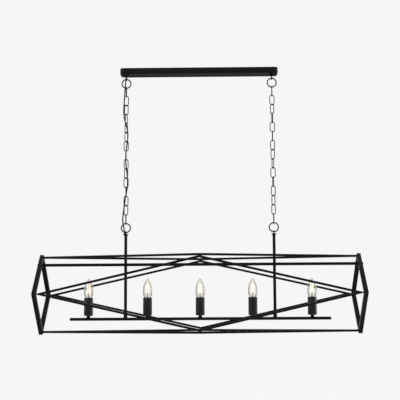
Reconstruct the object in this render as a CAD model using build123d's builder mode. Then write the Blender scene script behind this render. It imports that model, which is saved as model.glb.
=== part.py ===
"""Linear island pendant: a bar canopy, two chain hangers, and an open cage with five candle lamps.

Millimetres. +X runs along the pendant to the viewer's right, +Y away from the viewer, +Z up.
The origin is the middle of the ceiling bracket's top face, on the ceiling.
"""

import os
from math import cos, hypot, radians, sin, tan

from build123d import *

os.makedirs("parts", exist_ok=True)

# Canopy: a pressed steel bar, open towards the ceiling, on a full-length strap.
CANOPY_LENGTH = 592.0
CANOPY_DEPTH = 60.0
CANOPY_HEIGHT = 22.0
CANOPY_CORNER = 15.0
CANOPY_EDGE = 2.5
SHEET = 1.5
STRAP_WIDTH = 24.0
STRAP_DROP = 15.0
BOX_HOLE_SPACING = 88.9
BOX_HOLE = 5.0
END_SCREW_Z = -9.0
END_SCREW = 4.0
END_SCREW_HEAD = (8.0, 2.2)
TERMINAL = (16.0, 24.0, 13.0)
TERMINAL_WELL = (4.4, 3.0)
TERMINAL_PITCH = 8.0

# Hangers: a cast eye, a round ring, a chain and a second ring above each rod.
HANGER_X = 274.0
EYE_WIRE = 4.0
EYE_BORE = 9.2
EYE_PLAY = 0.15
CANOPY_COLLAR = (16.5, 5.0)
COLLAR_CHAMFER = 1.0
STEM = 8.0
STEM_ABOVE = 10.0
STEM_BELOW = 2.4
LOCKNUT = (13.0, 4.0)
RING_WIRE = 4.5
RING_BORE = 29.0
TOP_RING_Z = -53.5
LOWER_RING_Z = -600.1
LINK_COUNT = 15
LINK_WIRE = 3.2
LINK_SIDES = 8
LINK_WIDTH = 19.5
LINK_PLAY = 0.25
# How far each link has turned about the chain's line: 0 is edge-on from the front, 90 face-on.
LEFT_TURNS = [0, 66, 122, 20, 140, 33, 100, 175, 58, 125, 72, 0, 62, 118, 0]
RIGHT_TURNS = [0, 80, 135, 15, 90, 0, 67, 132, 26, 90, 172, 68, 140, 58, 0]

# Rods, and the bars that they carry.
ROD = 11.0
ROD_BORE = 9.0
ROD_COLLAR = (18.4, 5.0)
ROD_COLLAR_CHAMFER = 2.0
ROD_COLLAR_TOP = -623.0
SPIGOT = 12.0
FOOT = 14.5
FOOT_CHAMFER = 1.0
FOOT_TOP = -919.0
FLEX_HOLE = 6.0
HANGER_BAR_Z = -736.0
HANGER_BAR = (20.0, 10.0)
HANGER_BAR_CHAMFER = 0.6
GRUB_SCREW = 5.0
GRUB_SOCKET = (2.5, 2.0)
LAMP_BAR_Z = -934.5
LAMP_BAR_LENGTH = 956.0
TUBE_WALL = 1.0
FIT = 0.05

# Cage: two end frames of square tube, and four folded frames of square bar.
CAGE_Z = -844.0
END_FRAME_X = 584.0
END_TUBE = 15.0
END_TUBE_WALL = 1.5
END_HALF_DEPTH = 144.0
CAGE_HALF_HEIGHT = 135.9
RAIL = 8.0
RAIL_TIP_X = 565.0
MIDDLE_HALF_DEPTH = 173.2
MIDDLE_HALF_HEIGHT = 128.6
CROSSPIECE_THICKNESS = 12.0
CROSSPIECE_HEIGHT = 12.0
END_BOLT = 6.0
END_BOLT_REACH = 18.0
END_BOLT_HOLE = 20.0
CAP_NUT = (10.0, 6.5)
CAP_NUT_DOME = (9.2, 4.5)
CAP_NUT_TAPER = 24.0

# Lamps: cup, lampholder and candle bulb.
LAMP_X = [-410.0, -193.0, 0.0, 193.0, 410.0]
CUP = 33.0
CUP_WALL = 1.2
CUP_FLOOR = 2.0
CUP_BOTTOM = -922.4
CUP_TOP = -856.7
CUP_CORNER = 4.0
NECK = 13.0
NECK_FLARE = 16.0
NECK_STEPS = (4.0, 6.5, 8.5)
NIPPLE = 8.0
HOLDER = (19.0, 24.0)
HOLDER_SHOULDER = (22.0, 24.0)
HOLDER_TOP = 6.0
CAP = 14.0
CAP_TOP = -861.0
CAP_BOTTOM = -884.0
CAP_PLAY = 0.35
CAP_LIP = 1.4
CAP_FLARE = 4.0
CAP_TIP = (5.0, 3.0, 1.0)
STEM_GLASS = (5.2, 3.2, 20.0)
HUB = (9.0, 1.0)
FILAMENT = (1.0, 30.0)
FILAMENT_SPACING = 7.6
BULB = 35.0
BULB_WIDEST_Z = -832.0
BULB_TIP_Z = -785.8
GLASS = 0.9

# Flex: its routes beside the left hanger, measured from the hanger's line.
FLEX = 5.0
BUSHING_Y = -12.5
BUSHING = (8.2, 1.5)
BUSHING_NECK = 6.5
BUSHING_BEVEL = 0.6
BUSHING_HOLE = 6.6
LEAD_ROUTE = [
    (48.0, -6.0, -9.0),
    (39.0, -6.0, -9.0),
    (26.0, -9.0, -8.6),
    (13.0, -12.2, -8.8),
    (2.6, -12.5, -11.0),
    (0.0, -12.5, -16.5),
    (0.0, -12.5, -26.5),
    (-0.4, -12.0, -31.8),
    (-0.9, -11.1, -36.8),
]
WOVEN_ROUTE = [
    (-1.0, -11.0, -40.2),
    (-2.7, -11.5, -60.0),
    (-4.3, -11.3, -80.0),
    (-5.5, -10.2, -102.0),
    (-7.0, -9.7, -124.0),
    (-8.4, -10.7, -146.0),
    (-8.6, -12.8, -166.0),
    (-6.7, -14.9, -184.0),
    (-3.4, -14.2, -200.0),
    (-0.3, -6.9, -214.0),
    (3.8, 3.8, -228.0),
    (5.0, 12.4, -244.0),
    (4.1, 15.7, -262.0),
    (1.2, 16.6, -282.0),
    (-1.6, 16.7, -302.0),
    (-3.0, 16.2, -322.0),
    (-2.7, 13.4, -340.0),
    (-1.6, 5.8, -355.0),
    (0.2, -3.5, -369.0),
    (2.6, -9.5, -383.0),
    (4.6, -11.3, -398.0),
    (6.2, -11.5, -416.0),
    (7.0, -11.8, -436.0),
    (5.4, -12.7, -455.0),
    (2.0, -13.4, -472.0),
    (-1.1, -12.1, -488.0),
    (-3.5, -9.5, -505.0),
    (-5.9, -7.1, -522.0),
    (-8.7, -5.5, -540.0),
    (-10.7, -5.0, -558.0),
    (-11.3, -5.4, -574.0),
    (-9.9, -5.8, -586.0),
    (-7.5, -5.4, -595.0),
]
TAIL_ROUTE = [
    (-7.0, -5.3, -599.0),
    (-6.0, -5.5, -606.5),
    (-5.0, -5.5, -613.0),
    (-4.75, -5.2, -617.5),
    (-4.7, -4.0, -621.0),
    (-4.7, -4.0, -624.5),
]

# Levels that follow from the sizes above.
ring_mean = (RING_BORE + RING_WIRE) / 2
eye_mean = (EYE_BORE + EYE_WIRE) / 2
eye_offset = (EYE_BORE - RING_WIRE) / 2 - EYE_PLAY
canopy_eye_z = TOP_RING_Z + ring_mean + eye_offset
rod_eye_z = LOWER_RING_Z - ring_mean - eye_offset
link_pitch = (TOP_RING_Z - LOWER_RING_Z - RING_BORE) / LINK_COUNT
canopy_floor = -CANOPY_HEIGHT + SHEET
terminal_x = -HANGER_X + LEAD_ROUTE[0][0] + TERMINAL[0] / 2
rod_top = ROD_COLLAR_TOP - ROD_COLLAR[1]
end_frame_face = END_FRAME_X - END_TUBE / 2
crosspiece_face = END_FRAME_X - CROSSPIECE_THICKNESS / 2


def save(node, name):
    """Label a finished piece and write it under its own name."""
    node.part.label = name
    export_step(node.part, f"parts/{name}.step")


def upright(x, y=0.0):
    """The vertical plane along X through a point, with its own y axis pointing up."""
    return Plane(origin=(x, y, 0), x_dir=(1, 0, 0), z_dir=(0, -1, 0))


def vertical(x, y=0.0):
    """The vertical axis through a point."""
    return Axis((x, y, 0), (0, 0, 1))


def turned(x, outline, y=0.0):
    """Revolve an outline of (radius, height) points about the vertical through a point."""
    with BuildSketch(upright(x, y)) as section:
        Polygon(*outline, align=None)
    revolve(section.sketch, axis=vertical(x, y))


# --- canopy -------------------------------------------------------------------------------

with BuildPart() as canopy_shell:
    with BuildSketch(Plane.XY.offset(-CANOPY_HEIGHT)):
        RectangleRounded(CANOPY_LENGTH, CANOPY_DEPTH, CANOPY_CORNER)
    extrude(amount=CANOPY_HEIGHT)
    fillet(canopy_shell.faces().sort_by(Axis.Z)[0].edges(), CANOPY_EDGE)
    offset(amount=-SHEET, openings=canopy_shell.faces().sort_by(Axis.Z)[-1])
    with BuildSketch(Plane.XY.offset(-CANOPY_HEIGHT)):
        with Locations((-HANGER_X, 0), (HANGER_X, 0)):
            Circle(STEM / 2 + FIT)
        with Locations((-HANGER_X, BUSHING_Y)):
            Circle(BUSHING_HOLE / 2)
    extrude(amount=2 * SHEET, mode=Mode.SUBTRACT)
    with BuildSketch(Plane.YZ):
        with Locations((0, END_SCREW_Z)):
            Circle(END_SCREW / 2 + FIT)
    extrude(amount=CANOPY_LENGTH, both=True, mode=Mode.SUBTRACT)
save(canopy_shell, "canopy_shell")

with BuildPart() as ceiling_bracket:
    with BuildSketch(upright(0)):
        Rectangle(CANOPY_LENGTH - 2 * SHEET, STRAP_DROP, align=(Align.CENTER, Align.MAX))
        with Locations((0, -SHEET)):
            Rectangle(
                CANOPY_LENGTH - 4 * SHEET, STRAP_DROP, align=(Align.CENTER, Align.MAX), mode=Mode.SUBTRACT
            )
    extrude(amount=STRAP_WIDTH / 2, both=True)
    with BuildSketch(Plane.XY):
        with GridLocations(BOX_HOLE_SPACING, 0, 2, 1):
            Circle(BOX_HOLE / 2)
    extrude(amount=-SHEET, mode=Mode.SUBTRACT)
    with BuildSketch(Plane.YZ):
        with Locations((0, END_SCREW_Z)):
            Circle(END_SCREW / 2 + FIT)
    extrude(amount=CANOPY_LENGTH, both=True, mode=Mode.SUBTRACT)
save(ceiling_bracket, "ceiling_bracket")

with BuildPart() as canopy_screws:
    for side in (-1, 1):
        end_face = Plane(origin=(side * CANOPY_LENGTH / 2, 0, END_SCREW_Z), z_dir=(side, 0, 0))
        with BuildSketch(end_face):
            Circle(END_SCREW_HEAD[0] / 2)
        extrude(amount=END_SCREW_HEAD[1], taper=12)
        with BuildSketch(end_face):
            Circle(END_SCREW / 2)
        extrude(amount=-2 * END_SCREW)
save(canopy_screws, "canopy_screws")

with BuildPart() as terminal_block:
    with BuildSketch(Plane.XY.offset(-SHEET)):
        with Locations((terminal_x, 0)):
            Rectangle(TERMINAL[0], TERMINAL[1])
    extrude(amount=-TERMINAL[2])
    with BuildSketch(Plane.XY.offset(-SHEET - TERMINAL[2])):
        with Locations((terminal_x, 0)):
            with GridLocations(TERMINAL_PITCH, TERMINAL_PITCH, 2, 3):
                Circle(TERMINAL_WELL[0] / 2)
    extrude(amount=TERMINAL_WELL[1], mode=Mode.SUBTRACT)
save(terminal_block, "terminal_block")


def eye(x, z):
    """A cast eye across the pendant, for a ring to hang in or to hold."""
    with Locations(Location((x, 0, z), (0, 90, 0))):
        Torus(eye_mean, EYE_WIRE / 2)


for side_name, side in (("left", -1), ("right", 1)):
    x = side * HANGER_X
    with BuildPart() as canopy_loop:
        with BuildSketch(Plane.XY.offset(-CANOPY_HEIGHT)):
            with Locations((x, 0)):
                Circle(CANOPY_COLLAR[0] / 2)
        extrude(amount=-CANOPY_COLLAR[1])
        chamfer(canopy_loop.edges().group_by(Axis.Z)[0], COLLAR_CHAMFER)
        with BuildSketch(Plane.XY.offset(-CANOPY_HEIGHT - CANOPY_COLLAR[1])):
            with Locations((x, 0)):
                Circle(STEM / 2)
        extrude(amount=-STEM_BELOW)
        with BuildSketch(Plane.XY.offset(-CANOPY_HEIGHT)):
            with Locations((x, 0)):
                Circle(STEM / 2)
        extrude(amount=STEM_ABOVE)
        eye(x, canopy_eye_z)
    save(canopy_loop, f"{side_name}_canopy_loop")

with BuildPart() as loop_locknuts:
    with BuildSketch(Plane.XY.offset(canopy_floor)):
        with Locations((-HANGER_X, 0), (HANGER_X, 0)):
            RegularPolygon(LOCKNUT[0] / 2, 6, major_radius=False)
            Circle(STEM / 2 + FIT, mode=Mode.SUBTRACT)
    extrude(amount=LOCKNUT[1])
save(loop_locknuts, "loop_locknuts")

with BuildPart() as cord_bushing:
    bore = FLEX / 2 + FIT
    neck = BUSHING_NECK / 2
    flange = BUSHING[0] / 2
    rim = flange - BUSHING_BEVEL
    turned(
        -HANGER_X,
        [
            (bore, -CANOPY_HEIGHT - BUSHING[1]),
            (rim, -CANOPY_HEIGHT - BUSHING[1]),
            (flange, -CANOPY_HEIGHT),
            (neck, -CANOPY_HEIGHT),
            (neck, canopy_floor),
            (flange, canopy_floor),
            (rim, canopy_floor + BUSHING[1]),
            (bore, canopy_floor + BUSHING[1]),
        ],
        BUSHING_Y,
    )
save(cord_bushing, "cord_bushing")


# --- flex ---------------------------------------------------------------------------------

def bend_radii(points):
    """The largest arc that each corner of a route has room for."""
    radii = []
    for before, corner, after in zip(points, points[1:], points[2:]):
        run_in = Vector(*corner) - Vector(*before)
        run_out = Vector(*after) - Vector(*corner)
        half_turn = radians(run_in.get_angle(run_out)) / 2
        radii.append(0.45 * min(run_in.length, run_out.length) / tan(half_turn))
    return radii


def flex_piece(name, route):
    """Sweep one stretch of the flex along straight runs joined by tangent arcs."""
    points = [(px - HANGER_X, py, pz) for px, py, pz in route]
    radii = bend_radii(points)
    with BuildPart() as piece:
        with BuildLine() as path:
            FilletPolyline(*points, radius=radii)
        with BuildSketch(Plane(origin=path.wire() @ 0, z_dir=path.wire() % 0)):
            Circle(FLEX / 2)
        sweep(path=path.wire())
    length = path.wire().length
    section = piece.part.volume / length
    print(f"{name}: length {length:.1f}, section {section:.2f}, least radius {min(radii):.1f}")
    save(piece, name)


flex_piece("flex_lead", LEAD_ROUTE)
flex_piece("flex_cord", WOVEN_ROUTE)
flex_piece("flex_tail", TAIL_ROUTE)


# --- rings and chains ---------------------------------------------------------------------

for side_name, side in (("left", -1), ("right", 1)):
    for level_name, ring_z in (("top", TOP_RING_Z), ("lower", LOWER_RING_Z)):
        with BuildPart() as ring:
            with Locations(Location((side * HANGER_X, 0, ring_z), (90, 0, 0))):
                Torus(ring_mean, RING_WIRE / 2)
        save(ring, f"{side_name}_{level_name}_ring")


def link(x, z, turn):
    """An oval link standing upright and turned about the chain's line, its flats facing inwards."""
    across = (sin(radians(turn)), cos(radians(turn)), 0)
    half_width = (LINK_WIDTH - LINK_WIRE) / 2
    half_length = (link_pitch + LINK_PLAY + LINK_WIRE) / 2
    half_straight = half_length - half_width
    with BuildLine(Plane(origin=(x, 0, z), x_dir=across, z_dir=(across[1], -across[0], 0))) as loop:
        Line((half_width, -half_straight), (half_width, half_straight))
        ThreePointArc((half_width, half_straight), (0, half_length), (-half_width, half_straight))
        Line((-half_width, half_straight), (-half_width, -half_straight))
        ThreePointArc((-half_width, -half_straight), (0, -half_length), (half_width, -half_straight))
    with BuildSketch(Plane(origin=loop.wire() @ 0, x_dir=across, z_dir=loop.wire() % 0)) as section:
        RegularPolygon(LINK_WIRE / 2, LINK_SIDES, rotation=180 / LINK_SIDES)
    sweep(section.sketch, path=loop.wire())


for side_name, side, turns in (("left", -1, LEFT_TURNS), ("right", 1, RIGHT_TURNS)):
    with BuildPart() as chain:
        for index, turn in enumerate(turns):
            link_z = TOP_RING_Z - RING_BORE / 2 - link_pitch * (index + 0.5)
            link(side * HANGER_X, link_z, turn)
    save(chain, f"{side_name}_chain")


# --- rods and bars ------------------------------------------------------------------------

for side_name, side in (("left", -1), ("right", 1)):
    x = side * HANGER_X
    with BuildPart() as rod_eye:
        with BuildSketch(Plane.XY.offset(rod_top)):
            with Locations((x, 0)):
                Circle(ROD_COLLAR[0] / 2)
        extrude(amount=ROD_COLLAR[1])
        chamfer(rod_eye.edges().group_by(Axis.Z)[0], ROD_COLLAR_CHAMFER)
        with BuildSketch(Plane.XY.offset(rod_top)):
            with Locations((x, 0)):
                Circle(ROD_BORE / 2 - FIT)
        extrude(amount=-SPIGOT)
        eye(x, rod_eye_z)
        if side_name == "left":
            entry_x, entry_y, entry_z = TAIL_ROUTE[-1]
            with BuildSketch(Plane.XY.offset(entry_z)):
                with Locations((x + entry_x, entry_y)):
                    Circle(FLEX / 2 + EYE_PLAY)
            extrude(amount=EYE_WIRE, mode=Mode.SUBTRACT)
    save(rod_eye, f"{side_name}_rod_eye")

    with BuildPart() as rod:
        with BuildSketch(Plane.XY.offset(rod_top)):
            with Locations((x, 0)):
                Circle(ROD / 2)
                Circle(ROD_BORE / 2, mode=Mode.SUBTRACT)
        extrude(amount=FOOT_TOP - rod_top)
    save(rod, f"{side_name}_rod")

with BuildPart() as rod_feet:
    for side in (-1, 1):
        turned(
            side * HANGER_X,
            [
                (FLEX_HOLE / 2, LAMP_BAR_Z),
                (FOOT / 2, LAMP_BAR_Z),
                (FOOT / 2, FOOT_TOP - FOOT_CHAMFER),
                (FOOT / 2 - FOOT_CHAMFER, FOOT_TOP),
                (ROD_BORE / 2 - FIT, FOOT_TOP),
                (ROD_BORE / 2 - FIT, FOOT_TOP + SPIGOT),
                (FLEX_HOLE / 2, FOOT_TOP + SPIGOT),
            ],
        )
    with BuildSketch(Plane.YZ):
        with Locations((0, LAMP_BAR_Z)):
            Circle(ROD / 2 + FIT)
    extrude(amount=LAMP_BAR_LENGTH, both=True, mode=Mode.SUBTRACT)
save(rod_feet, "rod_feet")

with BuildPart() as hanger_bar:
    with Locations((0, 0, HANGER_BAR_Z)):
        Box(2 * crosspiece_face, HANGER_BAR[0], HANGER_BAR[1])
    chamfer(hanger_bar.edges().filter_by(Axis.X), HANGER_BAR_CHAMFER)
    with BuildSketch(Plane.XY.offset(HANGER_BAR_Z)):
        with Locations((-HANGER_X, 0), (HANGER_X, 0)):
            Circle(ROD / 2 + FIT)
    extrude(amount=HANGER_BAR[1], both=True, mode=Mode.SUBTRACT)
    for side in (-1, 1):
        with BuildSketch(Plane(origin=(side * crosspiece_face, 0, HANGER_BAR_Z), z_dir=(side, 0, 0))):
            Circle(END_BOLT / 2 + FIT)
        extrude(amount=-END_BOLT_HOLE, mode=Mode.SUBTRACT)
        with BuildSketch(upright(side * HANGER_X)):
            with Locations((0, HANGER_BAR_Z)):
                Circle(GRUB_SCREW / 2 + FIT)
        extrude(amount=HANGER_BAR[0], mode=Mode.SUBTRACT)
save(hanger_bar, "hanger_bar")

with BuildPart() as rod_grub_screws:
    for side in (-1, 1):
        with BuildSketch(upright(side * HANGER_X, -HANGER_BAR[0] / 2)):
            with Locations((0, HANGER_BAR_Z)):
                Circle(GRUB_SCREW / 2)
        extrude(amount=-(HANGER_BAR[0] - ROD) / 2)
        with BuildSketch(upright(side * HANGER_X, -HANGER_BAR[0] / 2)):
            with Locations((0, HANGER_BAR_Z)):
                RegularPolygon(GRUB_SOCKET[0] / 2, 6, major_radius=False)
        extrude(amount=-GRUB_SOCKET[1], mode=Mode.SUBTRACT)
save(rod_grub_screws, "rod_grub_screws")

with BuildPart() as lamp_bar:
    with Locations(Location((0, 0, LAMP_BAR_Z), (0, 90, 0))):
        Cylinder(ROD / 2, LAMP_BAR_LENGTH)
        Cylinder(ROD / 2 - TUBE_WALL, LAMP_BAR_LENGTH - 4 * TUBE_WALL, mode=Mode.SUBTRACT)
    with BuildSketch(Plane.XY.offset(LAMP_BAR_Z)):
        with Locations(*[(x, 0) for x in LAMP_X]):
            Circle(NIPPLE / 2 + FIT)
        with Locations((-HANGER_X, 0), (HANGER_X, 0)):
            Circle(FLEX_HOLE / 2)
    extrude(amount=ROD, mode=Mode.SUBTRACT)
save(lamp_bar, "lamp_bar")


# --- cage ---------------------------------------------------------------------------------

def diamond_reach(half_run, half_rise, inset):
    """Where a diamond's two axes meet its outline once each side has moved outwards by an inset."""
    side = hypot(half_run, half_rise)
    return half_run + inset * side / half_rise, half_rise + inset * side / half_run


def end_tube_outline(front_back, up_down, half_width):
    """One side of an end frame, mitred on the frame's two lines of symmetry."""
    outer_y, outer_z = diamond_reach(END_HALF_DEPTH, CAGE_HALF_HEIGHT, half_width)
    inner_y, inner_z = diamond_reach(END_HALF_DEPTH, CAGE_HALF_HEIGHT, -half_width)
    Polygon(
        (front_back * outer_y, CAGE_Z),
        (0, CAGE_Z + up_down * outer_z),
        (0, CAGE_Z + up_down * inner_z),
        (front_back * inner_y, CAGE_Z),
        align=None,
    )


for side_name, side in (("left", -1), ("right", 1)):
    for depth_name, front_back in (("front", -1), ("back", 1)):
        for level_name, up_down in (("upper", 1), ("lower", -1)):
            with BuildPart() as end_tube:
                with BuildSketch(Plane.YZ.offset(side * END_FRAME_X)):
                    end_tube_outline(front_back, up_down, END_TUBE / 2)
                extrude(amount=END_TUBE / 2, both=True)
                with BuildSketch(Plane.YZ.offset(side * END_FRAME_X)):
                    end_tube_outline(front_back, up_down, END_TUBE / 2 - END_TUBE_WALL)
                extrude(amount=END_TUBE / 2 - END_TUBE_WALL, both=True, mode=Mode.SUBTRACT)
            save(end_tube, f"{side_name}_{depth_name}_{level_name}_tube")


def rail(name, tip, middle, apex):
    """A bent rail: a mitred leg from an end frame to the cage's middle, and its mirror image."""
    tip, middle, apex = Vector(*tip), Vector(*middle), Vector(*apex)
    run, rise = tip - middle, apex - middle
    facet = Plane(origin=middle, x_dir=run, z_dir=run.cross(rise))
    slope = rise.length / run.length
    past = RAIL
    outer_run, outer_rise = diamond_reach(run.length, rise.length, RAIL / 2)
    inner_run, inner_rise = diamond_reach(run.length, rise.length, -RAIL / 2)
    with BuildPart() as node:
        with BuildSketch(facet):
            Polygon(
                (outer_run, 0),
                (-past, outer_rise + slope * past),
                (-past, inner_rise + slope * past),
                (inner_run, 0),
                align=None,
            )
        extrude(amount=RAIL / 2, both=True)
        split(bisect_by=Plane.YZ, keep=Keep.BOTTOM)
        split(bisect_by=Plane.YZ.offset(-end_frame_face), keep=Keep.TOP)
        if rise.Z:
            rail_face = Plane.XY.offset(CAGE_Z + (CAGE_HALF_HEIGHT - RAIL / 2) * rise.Z / abs(rise.Z))
            split(bisect_by=rail_face, keep=Keep.BOTTOM if rise.Z > 0 else Keep.TOP)
        mirror(about=Plane.YZ)
    save(node, name)


for level_name, up_down in (("top", 1), ("bottom", -1)):
    for depth_name, front_back in (("front", -1), ("back", 1)):
        level = CAGE_Z + up_down * CAGE_HALF_HEIGHT
        rail(
            f"{level_name}_{depth_name}_rail",
            (-RAIL_TIP_X, 0, level),
            (0, 0, level),
            (0, front_back * MIDDLE_HALF_DEPTH, level),
        )

for depth_name, front_back in (("front", -1), ("back", 1)):
    for level_name, up_down in (("upper", 1), ("lower", -1)):
        middle_y = front_back * MIDDLE_HALF_DEPTH
        rail(
            f"{depth_name}_{level_name}_rail",
            (-RAIL_TIP_X, front_back * END_HALF_DEPTH, CAGE_Z),
            (0, middle_y, CAGE_Z),
            (0, middle_y, CAGE_Z + up_down * MIDDLE_HALF_HEIGHT),
        )


def end_frame_inside(z):
    """How far from the middle an end frame's upper tubes stand, on their inner side, at a height."""
    inner_y, inner_z = diamond_reach(END_HALF_DEPTH, CAGE_HALF_HEIGHT, -END_TUBE / 2)
    return inner_y * (1 - (z - CAGE_Z) / inner_z)


with BuildPart() as end_crosspieces:
    crosspiece_top = HANGER_BAR_Z + CROSSPIECE_HEIGHT / 2
    crosspiece_bottom = HANGER_BAR_Z - CROSSPIECE_HEIGHT / 2
    for side in (-1, 1):
        with BuildSketch(Plane.YZ.offset(side * END_FRAME_X)):
            Polygon(
                (end_frame_inside(crosspiece_top), crosspiece_top),
                (end_frame_inside(crosspiece_bottom), crosspiece_bottom),
                (-end_frame_inside(crosspiece_bottom), crosspiece_bottom),
                (-end_frame_inside(crosspiece_top), crosspiece_top),
                align=None,
            )
            with Locations((0, HANGER_BAR_Z)):
                Circle(END_BOLT / 2 + FIT, mode=Mode.SUBTRACT)
        extrude(amount=CROSSPIECE_THICKNESS / 2, both=True)
save(end_crosspieces, "end_crosspieces")

with BuildPart() as end_bolts:
    for side in (-1, 1):
        plate = Plane(
            origin=(side * (END_FRAME_X + CROSSPIECE_THICKNESS / 2), 0, HANGER_BAR_Z), z_dir=(side, 0, 0)
        )
        with BuildSketch(plate):
            RegularPolygon(CAP_NUT[0] / 2, 6, major_radius=False)
        extrude(amount=CAP_NUT[1])
        with BuildSketch(plate.offset(CAP_NUT[1])):
            Circle(CAP_NUT_DOME[0] / 2)
        extrude(amount=CAP_NUT_DOME[1], taper=CAP_NUT_TAPER)
        with BuildSketch(plate):
            Circle(END_BOLT / 2)
        extrude(amount=-CROSSPIECE_THICKNESS - END_BOLT_REACH)
save(end_bolts, "end_bolts")


# --- lamps --------------------------------------------------------------------------------

for number, x in enumerate(LAMP_X, start=1):
    with BuildPart() as cup:
        with BuildSketch(upright(x)) as cup_outline:
            Polygon(
                (NIPPLE / 2 + FIT, CUP_BOTTOM),
                (CUP / 2, CUP_BOTTOM),
                (CUP / 2, CUP_TOP),
                (CUP / 2 - CUP_WALL, CUP_TOP),
                (CUP / 2 - CUP_WALL, CUP_BOTTOM + CUP_FLOOR),
                (NIPPLE / 2 + FIT, CUP_BOTTOM + CUP_FLOOR),
                align=None,
            )
            fillet(cup_outline.vertices().group_by(Axis.Y)[0].sort_by(Axis.X)[-1:], CUP_CORNER)
        revolve(axis=vertical(x))
    save(cup, f"lamp_cup_{number}")

with BuildPart() as lamp_necks:
    for x in LAMP_X:
        turned(
            x,
            [
                (NIPPLE / 2 + FIT, CUP_BOTTOM),
                (NECK / 2, CUP_BOTTOM),
                (NECK / 2, CUP_BOTTOM - NECK_STEPS[0]),
                (NECK_FLARE / 2, CUP_BOTTOM - NECK_STEPS[1]),
                (NECK_FLARE / 2, CUP_BOTTOM - NECK_STEPS[2]),
                (NIPPLE / 2 + FIT, CUP_BOTTOM - NECK_STEPS[2]),
            ],
        )
    with BuildSketch(Plane.YZ):
        with Locations((0, LAMP_BAR_Z)):
            Circle(ROD / 2 + FIT)
    extrude(amount=LAMP_BAR_LENGTH, both=True, mode=Mode.SUBTRACT)
save(lamp_necks, "lamp_necks")

with BuildPart() as lampholders:
    holder_floor = CUP_BOTTOM + CUP_FLOOR
    holder_foot = LAMP_BAR_Z + 2 * TUBE_WALL
    socket = CAP / 2 + CAP_PLAY
    socket_floor = CAP_BOTTOM - 2 * CAP_TIP[2]
    for x in LAMP_X:
        turned(
            x,
            [
                (0, holder_foot),
                (NIPPLE / 2, holder_foot),
                (NIPPLE / 2, holder_floor),
                (HOLDER[0] / 2, holder_floor),
                (HOLDER[0] / 2, holder_floor + HOLDER_SHOULDER[0]),
                (HOLDER[1] / 2, holder_floor + HOLDER_SHOULDER[1]),
                (HOLDER[1] / 2, CAP_TOP - HOLDER_TOP),
                (socket, CAP_TOP - HOLDER_TOP),
                (socket, socket_floor),
                (0, socket_floor),
            ],
        )
save(lampholders, "lampholders")


def glass_outline(inset):
    """A candle bulb's outline from its neck to its tip, drawn in by an inset."""
    widest = BULB / 2 - inset
    neck = CAP / 2 + CAP_LIP - inset
    with BuildLine() as outline:
        lower = Spline(
            (neck, CAP_TOP),
            (widest, BULB_WIDEST_Z),
            tangents=((0.75, 1), (0, 1)),
        )
        upper = Spline(
            (widest, BULB_WIDEST_Z),
            (widest * 0.64, BULB_TIP_Z - 18.0),
            (0, BULB_TIP_Z - inset),
            tangents=((0, 1), (-1, 0.9)),
        )
        Line(upper @ 1, (0, CAP_TOP))
        Line((0, CAP_TOP), lower @ 0)
    make_face(outline.edges())


hub_z = CAP_TOP + STEM_GLASS[2]
hub_align = (Align.CENTER, Align.CENTER, Align.MIN)
for number, x in enumerate(LAMP_X, start=1):
    with BuildPart() as glass:
        with BuildSketch(upright(x)):
            glass_outline(0)
        revolve(axis=vertical(x))
        with BuildSketch(upright(x)):
            glass_outline(GLASS)
        revolve(axis=vertical(x), mode=Mode.SUBTRACT)
    save(glass, f"bulb_{number}_glass")

    with BuildPart() as base:
        turned(
            x,
            [
                (0, CAP_BOTTOM - CAP_TIP[2]),
                (CAP_TIP[0] / 2, CAP_BOTTOM - CAP_TIP[2]),
                (CAP / 2, CAP_BOTTOM + CAP_TIP[1]),
                (CAP / 2, CAP_TOP - CAP_FLARE),
                (CAP / 2 + CAP_LIP, CAP_TOP),
                (STEM_GLASS[0] / 2, CAP_TOP),
                (STEM_GLASS[1] / 2, hub_z),
                (0, hub_z),
            ],
        )
        with Locations((x, 0, hub_z)):
            Box(HUB[0], HUB[0], HUB[1], align=hub_align)
            with GridLocations(FILAMENT_SPACING, FILAMENT_SPACING, 2, 2):
                Box(FILAMENT[0], FILAMENT[0], HUB[1] + FILAMENT[1], align=hub_align)
    save(base, f"bulb_{number}_base")
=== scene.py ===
# %% [markdown]
# # A linear island pendant
# The lamp is a long open cage of painted steel under two ring-and-chain hangers.
# The CAD model is loaded first. It fixes every size and place, in metres, so each piece
# made here goes where the CAD piece is, and then stands for it.

# %% Load the frame
from math import atan2, cos, hypot, pi, radians, sin

import bpy
from mathutils import Matrix, Vector
from mathutils.geometry import interpolate_bezier


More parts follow.
